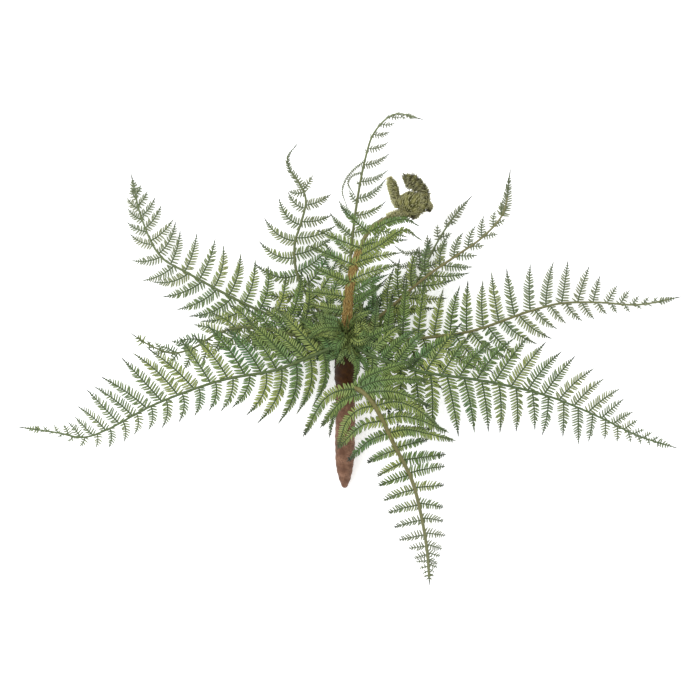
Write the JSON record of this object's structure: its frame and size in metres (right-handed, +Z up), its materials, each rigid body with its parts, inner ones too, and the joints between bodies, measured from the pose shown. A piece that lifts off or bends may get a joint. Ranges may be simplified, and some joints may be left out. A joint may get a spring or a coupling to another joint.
{
  "type": "bracken fern tuft on a stake",
  "caption": "Tuft of arching bracken fronds and a coiled young frond, rooted in a tapered planting stake, lying on its back.",
  "frame": {"origin": "under the middle of the tuft's box, on the surface that it lies on", "axes": "+Y from the stake's point to the crown, +X to the right as the fronds are seen from above, +Z up, towards the fronds' upper faces"},
  "size_m": [0.6004, 0.4278, 0.0934],
  "materials": {
    "frond_green": "satin leaf green with paler ribs and dark tips",
    "young_olive": "matt olive brown, scaly",
    "stake_brown": "matt mottled reddish brown"
  },
  "bodies": {
    "root": {"frond_left_low": "frond_green", "frond_left_middle": "frond_green", "frond_left_high": "frond_green", "frond_top_left": "frond_green", "frond_top": "frond_green", "frond_top_right_small": "frond_green", "frond_top_right": "frond_green", "frond_right_high": "frond_green", "frond_right_low": "frond_green", "frond_front": "frond_green", "young_frond": "young_olive", "stake": "stake_brown"}
  },
  "joints": []
}
